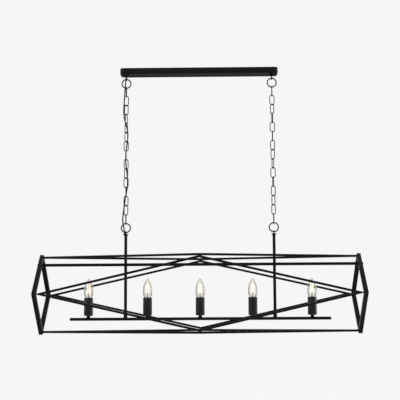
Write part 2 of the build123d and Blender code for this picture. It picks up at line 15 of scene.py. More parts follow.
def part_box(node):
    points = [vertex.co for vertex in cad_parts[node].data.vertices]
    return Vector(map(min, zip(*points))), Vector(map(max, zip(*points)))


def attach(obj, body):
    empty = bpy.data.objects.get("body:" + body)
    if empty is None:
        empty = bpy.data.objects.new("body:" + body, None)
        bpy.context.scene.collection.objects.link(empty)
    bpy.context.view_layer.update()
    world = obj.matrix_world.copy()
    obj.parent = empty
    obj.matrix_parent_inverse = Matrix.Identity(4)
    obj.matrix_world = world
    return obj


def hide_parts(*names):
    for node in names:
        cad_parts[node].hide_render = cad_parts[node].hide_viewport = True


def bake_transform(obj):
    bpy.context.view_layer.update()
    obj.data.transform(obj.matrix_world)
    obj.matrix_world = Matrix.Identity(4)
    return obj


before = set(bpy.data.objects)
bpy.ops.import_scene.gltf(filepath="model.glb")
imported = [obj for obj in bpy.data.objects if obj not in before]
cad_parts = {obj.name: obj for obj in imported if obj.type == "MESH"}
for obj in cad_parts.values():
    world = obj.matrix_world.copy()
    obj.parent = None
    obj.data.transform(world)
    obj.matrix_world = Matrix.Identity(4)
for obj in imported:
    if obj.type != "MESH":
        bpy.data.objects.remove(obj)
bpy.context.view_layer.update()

# %% [markdown]
# ## Sizes
# These are the same driving sizes as the CAD has, turned from millimetres to metres.
# Z is 0 on the ceiling, X runs along the pendant and -Y is towards the viewer. Wire, tube and
# stems are given by their diameter. What is turned ring by ring is given by its radius.

# %% Sizes of the canopy, hangers, rods and bars
MM = 0.001
CANOPY = Vector((592, 60, 22)) * MM
SHEET = 1.5 * MM
HANGER_X = 274 * MM
BUSHING_Y = -12.5 * MM
STEM = 8 * MM
EYE_WIRE = 4 * MM
EYE_BORE = 9.2 * MM
CANOPY_EYE_Z = -34.55 * MM
ROD_EYE_Z = -619.05 * MM
RING_WIRE = 4.5 * MM
RING_BORE = 29 * MM
TOP_RING_Z = -53.5 * MM
LOWER_RING_Z = -600.1 * MM
ROD = 11 * MM
CLEARANCE = 0.05 * MM
ROD_TOP = -628 * MM
FOOT_TOP = -919 * MM
HANGER_BAR_Z = -736 * MM
LAMP_BAR_Z = -934.5 * MM
LAMP_BAR_LENGTH = 956 * MM
print("ring centres", TOP_RING_Z, LOWER_RING_Z)

# %% Sizes of the cage and the lamps
CAGE_Z = -844 * MM
END_X = 584 * MM
END_TUBE = 15 * MM
END_HALF_DEPTH = 144 * MM
CAGE_HALF_HEIGHT = 135.9 * MM
RAIL = 8 * MM
RAIL_TIP_X = 565 * MM
MIDDLE_HALF_DEPTH = 173.2 * MM
MIDDLE_HALF_HEIGHT = 128.6 * MM
LAMP_X = [-0.410, -0.193, 0.0, 0.193, 0.410]
CUP_BOTTOM = -922.4 * MM
CUP_TOP = -856.7 * MM
CAP_TOP = -861 * MM
CAP_BOTTOM = -884 * MM
print("lamps at", LAMP_X)

# %% [markdown]
# ## Helpers for modelling
# Blender's operators work on what is selected, so each helper first clears the selection.
# `added` names a new primitive and settles its size and turn into its mesh, and `placed` does
# so with a new place and turn. `pick` goes into edit mode and selects faces, edges or vertices
# by where they are. `modified` applies a modifier, `cut` and `sliced` take material away, and
# `copied` makes a copy with its own mesh. `lathed` turns a piece from rings, ring by ring.

# %% Selecting, naming and placing
MOSTLY = 0.9  # a unit direction with more than this along an axis counts as along it
NEAR = 1e-5  # metres from a plane within which a point counts as on it
SIDES = (("left", -1), ("right", 1))


def only(piece):
    """Make one object the selected and active one, out of edit mode."""
    if bpy.context.object and bpy.context.object.mode == "EDIT":
        bpy.ops.object.mode_set(mode="OBJECT")
    bpy.ops.object.select_all(action="DESELECT")
    bpy.context.view_layer.objects.active = piece
    piece.select_set(True)


def added(name):
    """Name the new primitive, and settle its place, turn and size into its mesh."""
    piece = bpy.context.object
    piece.name = piece.data.name = name
    only(piece)
    bpy.ops.object.transform_apply(location=True, rotation=True, scale=True)
    return piece


def placed(piece, move, turn):
    """Turn a piece, move it, and settle both into its mesh."""
    piece.location, piece.rotation_euler = move, turn
    only(piece)
    bpy.ops.object.transform_apply(location=True, rotation=True, scale=True)


def block(name, low, high):
    """Start a piece from a cube between two corners."""
    low, high = Vector(low), Vector(high)
    bpy.ops.object.select_all(action="DESELECT")
    bpy.ops.mesh.primitive_cube_add(size=1, location=(low + high) / 2, scale=high - low)
    return added(name)


def pick(piece, kind, test):
    """Select in edit mode only what passes a test of its middle and its normal or direction."""
    only(piece)
    bpy.ops.object.mode_set(mode="EDIT")
    bpy.ops.mesh.select_mode(type=kind)
    bpy.ops.mesh.select_all(action="DESELECT")
    bpy.ops.object.mode_set(mode="OBJECT")
    mesh = piece.data
    points = [vertex.co for vertex in mesh.vertices]
    if kind == "FACE":
        chosen = [face for face in mesh.polygons if test(face.center, face.normal)]
    elif kind == "EDGE":
        ends = [(edge, points[edge.vertices[0]], points[edge.vertices[1]]) for edge in mesh.edges]
        chosen = [edge for edge, a, b in ends if test((a + b) / 2, (b - a).normalized())]
    else:
        chosen = [vertex for vertex in mesh.vertices if test(vertex.co, vertex.normal)]
    for item in chosen:
        item.select = True
    bpy.ops.object.mode_set(mode="EDIT")


# %% Finishing a mesh
MERGE = 2e-6  # metres within which two vertices become one


def modified(piece, kind, **settings):
    """Add a modifier with its settings and apply it."""
    only(piece)
    modifier = piece.modifiers.new(kind.title(), kind)
    for name, value in settings.items():
        setattr(modifier, name, value)
    bpy.ops.object.modifier_apply(modifier=modifier.name)


def mended(piece):
    """Merge doubles and turn all faces outwards."""
    only(piece)
    bpy.ops.object.mode_set(mode="EDIT")
    bpy.ops.mesh.select_all(action="SELECT")
    bpy.ops.mesh.remove_doubles(threshold=MERGE)
    bpy.ops.mesh.normals_make_consistent(inside=False)
    bpy.ops.object.mode_set(mode="OBJECT")


def softened(piece, width, segments=2, angle=30):
    """Round every sharp edge a little, as paint and handling do."""
    modified(
        piece, "BEVEL", width=width, segments=segments, limit_method="ANGLE", angle_limit=radians(angle)
    )


def cut(piece, cutter):
    """Take one mesh away from another, and delete the cutter."""
    modified(piece, "BOOLEAN", operation="DIFFERENCE", solver="EXACT", object=cutter)
    bpy.data.objects.remove(cutter)


def sliced(piece, point, away):
    """Cut a piece by a plane, drop the side that the plane's normal points to, and close it."""
    only(piece)
    bpy.ops.object.mode_set(mode="EDIT")
    bpy.ops.mesh.select_all(action="SELECT")
    bpy.ops.mesh.bisect(plane_co=point, plane_no=away, use_fill=True, clear_outer=True)
    bpy.ops.object.mode_set(mode="OBJECT")


def joined(name, pieces):
    """Join several meshes into one object."""
    only(pieces[0])
    for piece in pieces:
        piece.select_set(True)
    bpy.ops.object.join()
    return added(name)


def copied(piece, name, move=(0, 0, 0), turn=(0, 0, 0), flip=(1, 1, 1)):
    """A copy with its own mesh, turned and moved, or turned over where a flip is -1."""
    twin = piece.copy()
    twin.data = piece.data.copy()
    twin.name = twin.data.name = name
    twin.scale = flip
    bpy.context.collection.objects.link(twin)
    placed(twin, move, turn)
    if -1 in flip:
        mended(twin)
    return twin


# %% Turning a piece ring by ring
def lathed(name, x, rings, y=0.0, segments=48, filled=True):
    """Extrude a circle through (radius, height) rings, each from the one before.

    A last radius of 0 closes the shape in a point.
    """
    radius, height = rings[0]
    bpy.ops.object.select_all(action="DESELECT")
    bpy.ops.mesh.primitive_circle_add(vertices=segments, radius=radius, location=(x, y, height))
    piece = added(name)
    bpy.ops.object.mode_set(mode="EDIT")
    bpy.ops.mesh.select_mode(type="VERT")
    bpy.ops.mesh.select_all(action="SELECT")
    for (before, low), (after, high) in zip(rings, rings[1:]):
        bpy.ops.mesh.extrude_region_move(TRANSFORM_OT_translate={"value": (0, 0, high - low)})
        if after:
            ratio = after / before
            bpy.ops.transform.resize(value=(ratio, ratio, 1), center_override=(x, y, high))
        else:
            bpy.ops.mesh.merge(type="CENTER")
    if filled:
        bpy.ops.mesh.select_all(action="SELECT")
        bpy.ops.mesh.remove_doubles(threshold=MERGE)
        bpy.ops.mesh.select_all(action="SELECT")
        bpy.ops.mesh.fill_holes(sides=0)
    bpy.ops.object.mode_set(mode="OBJECT")
    mended(piece)
    return piece


def profile(points, foot=0.0):
    """Rings from radii and heights in millimetres, with the heights taken from a foot."""
    return [(radius * MM, foot + height * MM) for radius, height in points]


def rounded(radius, height, corner, closing=False, steps=5):
    """Rings round a corner, up from a flat end to the wall, or at closing from the wall to an end."""
    rings = []
    for step in range(steps + 1):
        angle = pi / 2 * step / steps
        if closing:
            rings.append((radius - corner * (1 - cos(angle)), height - corner * (1 - sin(angle))))
        else:
            rings.append((radius - corner * (1 - sin(angle)), height + corner * (1 - cos(angle))))
    return rings


# %% [markdown]
# ## Helpers for materials
# Colours are written as the eye reads them, in hex, and one function makes them linear.
# `add` puts a node into a material: what it is given is a setting, a value or a link, or for a
# colour ramp its stops.

# %% Colour and nodes
def colour(code):
    """A hex sRGB colour as Blender's linear red, green, blue and alpha."""
    parts = [int(code[start:start + 2], 16) / 255 for start in (1, 3, 5)]
    return [p / 12.92 if p <= 0.04045 else ((p + 0.055) / 1.055) ** 2.4 for p in parts] + [1.0]


def add(tree, kind, settings):
    """Add a node. A socket as a value is linked, and a name without a socket is a property."""
    node = tree.nodes.new(kind)
    for name, value in settings.items():
        if name == "stops":
            for stop, (position, code) in zip(node.color_ramp.elements, value):
                stop.position, stop.color = position, colour(code)
        elif isinstance(name, str) and name not in node.inputs:
            setattr(node, name, value)
        elif isinstance(value, bpy.types.NodeSocket):
            tree.links.new(value, node.inputs[name])
        else:
            node.inputs[name].default_value = value
    return node


def blank(name):
    """A new material with no nodes in it yet, and its node tree."""
    material = bpy.data.materials.new(name)
    material.use_nodes = True
    material.node_tree.nodes.clear()
    return material, material.node_tree


# %% [markdown]
# ## Powder-coated steel
# The cage, bars, cups and canopy are mild steel under a matt black polyester powder coat.
# The powder melts into a film with a fine orange peel, about 0.5 mm from bump to bump, so a
# highlight on it is wide and soft. The peel is drawn four times as coarse, because half a
# millimetre is under a pixel in most views. The film is also a little paler in broad patches,
# and browner on the cage and cups. A matting agent in it scatters most of the mirror
# reflection, so the specular level is low, and a little higher on the smoother cups.

# %% Powder-coated steel
def powder_coated_steel(name, dark, light, gloss, shine):
    """A matt coat between two shades, with its middle roughness and its specular level."""
    material, tree = blank(name)
    place = add(tree, "ShaderNodeTexCoord", {})
    peel_noise = add(
        tree, "ShaderNodeTexNoise",
        {"Vector": place.outputs["Object"], "Scale": 1 / (2 * MM), "Detail": 2.0, "Roughness": 0.5},
    )
    patches = add(
        tree, "ShaderNodeTexNoise",
        {"Vector": place.outputs["Object"], "Scale": 1 / (45 * MM), "Detail": 4.0, "Roughness": 0.6},
    )
    shade = add(
        tree, "ShaderNodeValToRGB",
        {"Fac": patches.outputs["Fac"], "stops": ((0.35, dark), (0.7, light))},
    )
    rough = add(
        tree, "ShaderNodeMapRange",
        {"Value": peel_noise.outputs["Fac"], "To Min": gloss - 0.03, "To Max": gloss + 0.03},
    )
    bump = add(
        tree, "ShaderNodeBump",
        {"Height": peel_noise.outputs["Fac"], "Strength": 0.15, "Distance": 0.03 * MM},
    )
    paint = add(
        tree, "ShaderNodeBsdfPrincipled",
        {
            "Base Color": shade.outputs["Color"], "Roughness": rough.outputs["Result"],
            "Normal": bump.outputs["Normal"], "Specular IOR Level": shine,
        },
    )
    add(tree, "ShaderNodeOutputMaterial", {"Surface": paint.outputs["BSDF"]})
    return material


cage_paint = powder_coated_steel("powder_coated_steel", "#060606", "#0c0b0b", 0.48, 0.1)
cup_paint = powder_coated_steel("powder_coated_cups", "#0d0b0b", "#131010", 0.36, 0.22)
canopy_paint = powder_coated_steel("powder_coated_canopy", "#060606", "#0a0a0a", 0.45, 0.11)
print("paints", cage_paint.name, cup_paint.name, canopy_paint.name)

# %% [markdown]
# ## Blackened wire
# Rings and links are welded from drawn wire, tumbled and then dip-painted. The thin lacquer is
# smoother than powder. Drawing leaves fine lines along a wire, which are far too fine to show,
# so what is drawn is how the lacquer pools: every 6 mm or so it is thinner, paler and browner.

# %% Blackened wire
blackened_wire, tree = blank("blackened_wire")
place = add(tree, "ShaderNodeTexCoord", {})
pooling = add(
    tree, "ShaderNodeTexNoise",
    {"Vector": place.outputs["Object"], "Scale": 1 / (6 * MM), "Detail": 3.0, "Roughness": 0.55},
)
shade = add(
    tree, "ShaderNodeValToRGB",
    {"Fac": pooling.outputs["Fac"], "stops": ((0.4, "#0f0e0e"), (0.75, "#1f1d1c"))},
)
rough = add(
    tree, "ShaderNodeMapRange", {"Value": pooling.outputs["Fac"], "To Min": 0.3, "To Max": 0.46}
)
bump = add(
    tree, "ShaderNodeBump",
    {"Height": pooling.outputs["Fac"], "Strength": 0.3, "Distance": 0.1 * MM},
)
lacquer = add(
    tree, "ShaderNodeBsdfPrincipled",
    {
        "Base Color": shade.outputs["Color"], "Roughness": rough.outputs["Result"],
        "Normal": bump.outputs["Normal"], "Specular IOR Level": 0.15,
    },
)
add(tree, "ShaderNodeOutputMaterial", {"Surface": lacquer.outputs["BSDF"]})
print("wire", blackened_wire.name)

# %% [markdown]
# ## PVC flex sheath
# The flex is round, 5 mm thick, in an extruded black PVC sheath. Extrusion gives it a dull
# sheen with a faint mottle, about 9 mm across, in which it is slightly paler.

# %% PVC flex sheath
pvc_sheath, tree = blank("pvc_flex_sheath")
place = add(tree, "ShaderNodeTexCoord", {})
mottle = add(
    tree, "ShaderNodeTexNoise",
    {"Vector": place.outputs["Object"], "Scale": 1 / (9 * MM), "Detail": 5.0, "Roughness": 0.6},
)
shade = add(
    tree, "ShaderNodeValToRGB",
    {"Fac": mottle.outputs["Fac"], "stops": ((0.3, "#101011"), (0.75, "#1c1c1d"))},
)
bump = add(
    tree, "ShaderNodeBump",
    {"Height": mottle.outputs["Fac"], "Strength": 0.2, "Distance": 0.1 * MM},
)
sheath = add(
    tree, "ShaderNodeBsdfPrincipled",
    {
        "Base Color": shade.outputs["Color"], "Roughness": 0.42, "Specular IOR Level": 0.2,
        "Normal": bump.outputs["Normal"],
    },
)
add(tree, "ShaderNodeOutputMaterial", {"Surface": sheath.outputs["BSDF"]})
print("flex", pvc_sheath.name)

# %% [markdown]
# ## Zinc and nickel plate
# The ceiling strap and the locknuts are steel with a bright zinc plate, whose crystals show as
# a faint spangle about 3 mm across. The bulbs' caps are thin brass with a nickel plate, which
# is warmer and smoother. Both are metals, so their colour is in the reflection.

# %% Zinc and nickel plate
def plated_metal(name, dark, light, gloss, spangle):
    """A metal between two shades, with its least roughness and its crystals' width."""
    material, tree = blank(name)
    place = add(tree, "ShaderNodeTexCoord", {})
    grains = add(
        tree, "ShaderNodeTexVoronoi", {"Vector": place.outputs["Object"], "Scale": 1 / spangle}
    )
    shade = add(
        tree, "ShaderNodeValToRGB",
        {"Fac": grains.outputs["Color"], "stops": ((0, dark), (1, light))},
    )
    rough = add(
        tree, "ShaderNodeMapRange",
        {"Value": grains.outputs["Distance"], "To Min": gloss, "To Max": gloss + 0.12},
    )
    plate = add(
        tree, "ShaderNodeBsdfPrincipled",
        {
            "Base Color": shade.outputs["Color"], "Roughness": rough.outputs["Result"],
            "Metallic": 1.0,
        },
    )
    add(tree, "ShaderNodeOutputMaterial", {"Surface": plate.outputs["BSDF"]})
    return material


zinc_plate = plated_metal("zinc_plated_steel", "#a9adaf", "#c3c6c6", 0.32, 3 * MM)
nickel_plate = plated_metal("nickel_plated_brass", "#b8ae9c", "#d0c8b8", 0.22, 1.5 * MM)
print("plates", zinc_plate.name, nickel_plate.name)

# %% [markdown]
# ## Moulded plastics
# The connector is natural polyamide, milky and slightly waxy. The lampholders and the bushing
# are black thermoset, moulded in a spark-eroded tool that leaves a grain of about 0.8 mm.

# %% Moulded plastics
def moulded_plastic(name, dark, light, gloss, grain):
    """A plastic between two shades, with its roughness and its surface grain's width."""
    material, tree = blank(name)
    place = add(tree, "ShaderNodeTexCoord", {})
    tool_grain = add(
        tree, "ShaderNodeTexNoise",
        {"Vector": place.outputs["Object"], "Scale": 1 / grain, "Detail": 3.0},
    )
    shade = add(
        tree, "ShaderNodeValToRGB",
        {"Fac": tool_grain.outputs["Fac"], "stops": ((0, dark), (1, light))},
    )
    bump = add(
        tree, "ShaderNodeBump",
        {"Height": tool_grain.outputs["Fac"], "Strength": 0.3, "Distance": 0.05 * MM},
    )
    plastic = add(
        tree, "ShaderNodeBsdfPrincipled",
        {"Base Color": shade.outputs["Color"], "Roughness": gloss, "Normal": bump.outputs["Normal"]},
    )
    add(tree, "ShaderNodeOutputMaterial", {"Surface": plastic.outputs["BSDF"]})
    return material


polyamide = moulded_plastic("natural_polyamide", "#dcd8cb", "#ece9df", 0.45, 4 * MM)
thermoset = moulded_plastic("black_thermoset", "#121110", "#1d1b19", 0.38, 0.8 * MM)
print("plastics", polyamide.name, thermoset.name)

# %% [markdown]
# ## Clear glass and lit filaments
# The candle bulbs are blown soda-lime glass, 0.9 mm thick, with an index of 1.52. Blowing
# leaves the wall faintly uneven over a centimetre or so. The grey towards the bulb's outline is
# painted shade: a facing weight darkens the glass's base colour from its middle to its outline.
# Inside are four filament sticks: tiny chips under a yellow phosphor silicone. They glow warm
# white, a little yellower between groups of chips, every 6 mm or so.

# %% Soda-lime glass
soda_lime_glass, tree = blank("soda_lime_glass")
place = add(tree, "ShaderNodeTexCoord", {})
waves = add(
    tree, "ShaderNodeTexNoise",
    {"Vector": place.outputs["Object"], "Scale": 1 / (12 * MM), "Detail": 1.0},
)
bump = add(
    tree, "ShaderNodeBump",
    {"Height": waves.outputs["Fac"], "Strength": 0.05, "Distance": 0.3 * MM},
)
# Painted shade: this ramp darkens the glass's base colour towards the outline, where the view grazes it.
facing = add(tree, "ShaderNodeLayerWeight", {"Blend": 0.5})
depth = add(
    tree, "ShaderNodeValToRGB",
    {"Fac": facing.outputs["Facing"], "stops": ((0.15, "#f6f4ef"), (0.85, "#6c6b68"))},
)
glass = add(
    tree, "ShaderNodeBsdfPrincipled",
    {
        "Base Color": depth.outputs["Color"], "Roughness": 0.06, "IOR": 1.52,
        "Transmission Weight": 1.0, "Normal": bump.outputs["Normal"],
    },
)
add(tree, "ShaderNodeOutputMaterial", {"Surface": glass.outputs["BSDF"]})
print("glass", soda_lime_glass.name)

# %% Phosphor on the filament sticks
CHIP_BAND = 5.9218 * MM  # a wave of scale s repeats every pi / (10 * s)
phosphor, tree = blank("phosphor_silicone")
place = add(tree, "ShaderNodeTexCoord", {})
chips = add(
    tree, "ShaderNodeTexWave",
    {
        "Vector": place.outputs["Object"], "Scale": pi / (10 * CHIP_BAND), "Distortion": 0.4,
        "bands_direction": "Z",
    },
)
glow = add(
    tree, "ShaderNodeValToRGB",
    {"Fac": chips.outputs["Fac"], "stops": ((0, "#ffe3b4"), (1, "#fff4de"))},
)
stick = add(
    tree, "ShaderNodeBsdfPrincipled",
    {
        "Base Color": colour("#e8b24a"), "Roughness": 0.5,
        "Emission Color": glow.outputs["Color"], "Emission Strength": 3.0,
    },
)
add(tree, "ShaderNodeOutputMaterial", {"Surface": stick.outputs["BSDF"]})
print("phosphor", phosphor.name)

# %% [markdown]
# ## Handing a piece over
# A finished piece is shaded smooth where its faces meet at a small angle, gets its material,
# and rides on a CAD body. It stands for the CAD nodes that it replaces.

# %% Handing a piece over
def settled(piece, body, slot, material, *nodes, smooth=32):
    """Shade and paint a finished piece, and hand it to its body and CAD nodes. Its slot is not used."""
    only(piece)
    bpy.ops.object.shade_smooth_by_angle(angle=radians(smooth))
    piece.data.materials.clear()
    piece.data.materials.append(material)
    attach(piece, body)
    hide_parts(*nodes)
    print(piece.name, len(piece.data.polygons), "faces")


# %% [markdown]
# ## The canopy
# A canopy like this is drawn from 1.5 mm sheet: a long tray, open to the ceiling, with rounded
# corners. A cube is opened at its top and its edges are bevelled, first the four upright ones,
# then the lower rim. Solidify gives it the sheet's thickness, inwards. Three holes are then
# cut, for the stems of the two eyes and for the bushing of the flex.

# %% The canopy's pressing
CANOPY_CORNER = 15 * MM
CANOPY_RIM = 2.5 * MM
half = CANOPY / 2
canopy = block("canopy_pressing", (-half.x, -half.y, -CANOPY.z), (half.x, half.y, 0))
pick(canopy, "FACE", lambda middle, normal: normal.z > MOSTLY)
bpy.ops.mesh.delete(type="FACE")
pick(canopy, "EDGE", lambda middle, along: abs(along.z) > MOSTLY)
bpy.ops.mesh.bevel(offset=CANOPY_CORNER, segments=12)
pick(canopy, "EDGE", lambda middle, along: middle.z < -CANOPY.z + NEAR)
bpy.ops.mesh.bevel(offset=CANOPY_RIM, segments=5)
bpy.ops.object.mode_set(mode="OBJECT")
mended(canopy)
modified(canopy, "SOLIDIFY", thickness=SHEET, offset=-1.0, use_even_offset=True)
print("canopy", [round(side, 4) for side in canopy.dimensions])

# %% The canopy's holes
BUSHING_HOLE_RADIUS = 3.3 * MM


def drill(x, y, z, radius, depth, turn=0.0):
    """A round cutter, upright or turned about Y."""
    bpy.ops.object.select_all(action="DESELECT")
    bpy.ops.mesh.primitive_cylinder_add(
        vertices=32, radius=radius, depth=depth, location=(x, y, z), rotation=(0, turn, 0)
    )
    return added("drill")


for x, y, radius in (
    (-HANGER_X, 0, STEM / 2), (HANGER_X, 0, STEM / 2), (-HANGER_X, BUSHING_Y, BUSHING_HOLE_RADIUS),
):
    cut(canopy, drill(x, y, -CANOPY.z, radius, 4 * SHEET))
softened(canopy, width=0.25 * MM, angle=50)
settled(canopy, "canopy", "black_paint", canopy_paint, "canopy_shell", smooth=25)

# %% [markdown]
# ## End screws of the canopy
# Two pan-head screws hold the canopy to the strap, one through each short end. The head is
# turned ring by ring, laid on its side, and a cross recess is cut in it.

# %% End screws
SCREW_Z = -9 * MM
HEAD_HEIGHT = 2.2 * MM
CROSS = (0.8 * MM, 4 * MM, 2.4 * MM)
head = profile([(0.9, 0), (3.9, 0), (4, 0.3), (3.9, 1.2), (3.3, 1.8), (2.2, 2.15), (1.2, 2.2)])
screw = lathed("canopy_end_screw", 0, head, segments=32)
for turn in (0, pi / 2):
    bpy.ops.object.select_all(action="DESELECT")
    bpy.ops.mesh.primitive_cube_add(
        size=1, location=(0, 0, HEAD_HEIGHT), scale=CROSS, rotation=(0, 0, turn)
    )
    cut(screw, added("cross"))
shank = lathed("shank", 0, profile([(2, -6), (2, 0.2)]), segments=24)
screw = joined("canopy_end_screw", [screw, shank])
for side_name, side in SIDES:
    place, turn = (side * CANOPY.x / 2, 0, SCREW_Z), (0, side * pi / 2, 0)
    twin = copied(screw, f"canopy_{side_name}_screw", place, turn)
    settled(twin, "canopy", "black_paint", cage_paint, "canopy_screws")
bpy.data.objects.remove(screw)

# %% [markdown]
# ## Cast eyes
# Each hanger starts from a cast eye and ends in one: a collar, a short neck and a closed ring
# in one piece. The collar is turned and the ring is a torus. In a casting the two flow into
# each other, which separate meshes can't do. A voxel remesh makes them one skin, and a smooth
# rounds the join.

# %% Cast eyes under the canopy and on the rods
VOXEL = 0.4 * MM


def cast_eye(name, x, collar, eye_z):
    """A torus across the pendant, grown together with its collar."""
    bpy.ops.object.select_all(action="DESELECT")
    bpy.ops.mesh.primitive_torus_add(
        location=(x, 0, eye_z), rotation=(0, pi / 2, 0), major_segments=48, minor_segments=16,
        major_radius=(EYE_BORE + EYE_WIRE) / 2, minor_radius=EYE_WIRE / 2,
    )
    eye = joined(name, [collar, added("eye")])
    modified(eye, "REMESH", mode="VOXEL", voxel_size=VOXEL)
    modified(eye, "SMOOTH", factor=0.5, iterations=5)
    return eye


# Under the canopy the rings are a stem, a collar and its neck. On a rod they are a plug, then
# the collar.
for side_name, side in SIDES:
    x = side * HANGER_X
    rings = [(STEM / 2, -12.4 * MM), (STEM / 2, -22 * MM)]
    rings += profile([(8.25, -22), (8.25, -26), (7.25, -27), (4.6, -27), (3.6, -28.8)])
    eye = cast_eye(f"canopy_eye_{side_name}", x, lathed("collar", x, rings), CANOPY_EYE_Z)
    settled(eye, "canopy", "black_paint", cage_paint, f"{side_name}_canopy_loop")
    rings = profile([(2, -12), (4.4, -12), (4.4, 0), (7.2, 0)], ROD_TOP)
    rings += profile([(9.2, 2), (9.2, 4.6), (8.8, 5), (3, 5.4)], ROD_TOP)
    eye = cast_eye(f"rod_eye_{side_name}", x, lathed("collar", x, rings), ROD_EYE_Z)
    settled(eye, "fixture", "black_paint", cage_paint, f"{side_name}_rod_eye")

# %% [markdown]
# ## Rings
# A ring is round wire bent and butt-welded, so a faint bead shows where its ends meet. The
# vertices of one small stretch of the torus are swollen to make that bead.

# %% Rings
BEAD = 0.18 * MM
BEAD_REACH = RING_WIRE * 0.62
bpy.ops.object.select_all(action="DESELECT")
bpy.ops.mesh.primitive_torus_add(
    rotation=(pi / 2, 0, 0), major_segments=72, minor_segments=20,
    major_radius=(RING_BORE + RING_WIRE) / 2, minor_radius=RING_WIRE / 2,
)
ring = added("wire_ring")
weld_place = Vector((RING_BORE + RING_WIRE, 0, 0)) / 2
pick(ring, "VERT", lambda point, normal: (point - weld_place).length < BEAD_REACH)
bpy.ops.transform.shrink_fatten(value=BEAD)
bpy.ops.object.mode_set(mode="OBJECT")
for side_name, side in SIDES:
    for level_name, body, z in (("top", "top_rings", TOP_RING_Z), ("lower", "lower_rings", LOWER_RING_Z)):
        twin = copied(ring, f"ring_{level_name}_{side_name}", (side * HANGER_X, 0, z))
        settled(twin, body, "black_wire", blackened_wire, f"{side_name}_{level_name}_ring")
bpy.data.objects.remove(ring)

# %% [markdown]
# ## Chains
# One link is half a torus with its cut ends drawn out, then mirrored. Its weld is a small
# bulge in the middle of one side. The links are copied down each hanger, every one turned
# about the chain's line as it hangs in the photograph. A turn of 0 shows a link edge-on.

# %% One link
LINK_WIRE = 3.2 * MM
LINK_WIDTH = 19.5 * MM
LINK_COUNT = 15
LINK_PLAY = 0.25 * MM
WELD = 1.4 * MM
WELD_SWELL = 0.22 * MM
pitch = (TOP_RING_Z - LOWER_RING_Z - RING_BORE) / LINK_COUNT
bend = (LINK_WIDTH - LINK_WIRE) / 2
straight = (pitch + LINK_PLAY + LINK_WIRE) / 2 - bend

bpy.ops.object.select_all(action="DESELECT")
bpy.ops.mesh.primitive_torus_add(
    rotation=(pi / 2, 0, 0), major_segments=36, minor_segments=14,
    major_radius=bend, minor_radius=LINK_WIRE / 2,
)
link = added("link")
bpy.ops.object.mode_set(mode="EDIT")
bpy.ops.mesh.select_all(action="SELECT")
bpy.ops.mesh.bisect(plane_co=(0, 0, 0), plane_no=(0, 0, 1), clear_inner=True)
bpy.ops.mesh.select_all(action="SELECT")
bpy.ops.transform.translate(value=(0, 0, straight))
for drop in (straight - WELD, WELD):
    bpy.ops.object.mode_set(mode="OBJECT")
    lowest = min(vertex.co.z for vertex in link.data.vertices)
    pick(link, "VERT", lambda point, normal: point.z < lowest + NEAR)
    bpy.ops.mesh.extrude_region_move(TRANSFORM_OT_translate={"value": (0, 0, -drop)})
bpy.ops.object.mode_set(mode="OBJECT")
modified(link, "MIRROR", use_axis=(False, False, True), use_clip=True, merge_threshold=NEAR)
mended(link)
pick(link, "VERT", lambda point, normal: abs(point.z) < NEAR and point.x > 0)
bpy.ops.transform.shrink_fatten(value=WELD_SWELL)
bpy.ops.object.mode_set(mode="OBJECT")
print("link", len(link.data.polygons), "faces,", round(link.dimensions.z / MM, 2), "mm long")

# %% The two chains
LEFT_TURNS = [0, 66, 122, 20, 140, 33, 100, 175, 58, 125, 72, 0, 62, 118, 0]
RIGHT_TURNS = [0, 80, 135, 15, 90, 0, 67, 132, 26, 90, 172, 68, 140, 58, 0]
for (side_name, side), turns in zip(SIDES, (LEFT_TURNS, RIGHT_TURNS)):
    links = []
    for index, turn in enumerate(turns):
        place = (side * HANGER_X, 0, TOP_RING_Z - RING_BORE / 2 - pitch * (index + 0.5))
        links.append(copied(link, f"link_{index}", place, turn=(0, 0, radians(90 - turn))))
    chain = joined(f"chain_{side_name}", links)
    settled(chain, f"{side_name}_hanger", "black_wire", blackened_wire, f"{side_name}_chain", smooth=50)
bpy.data.objects.remove(link)
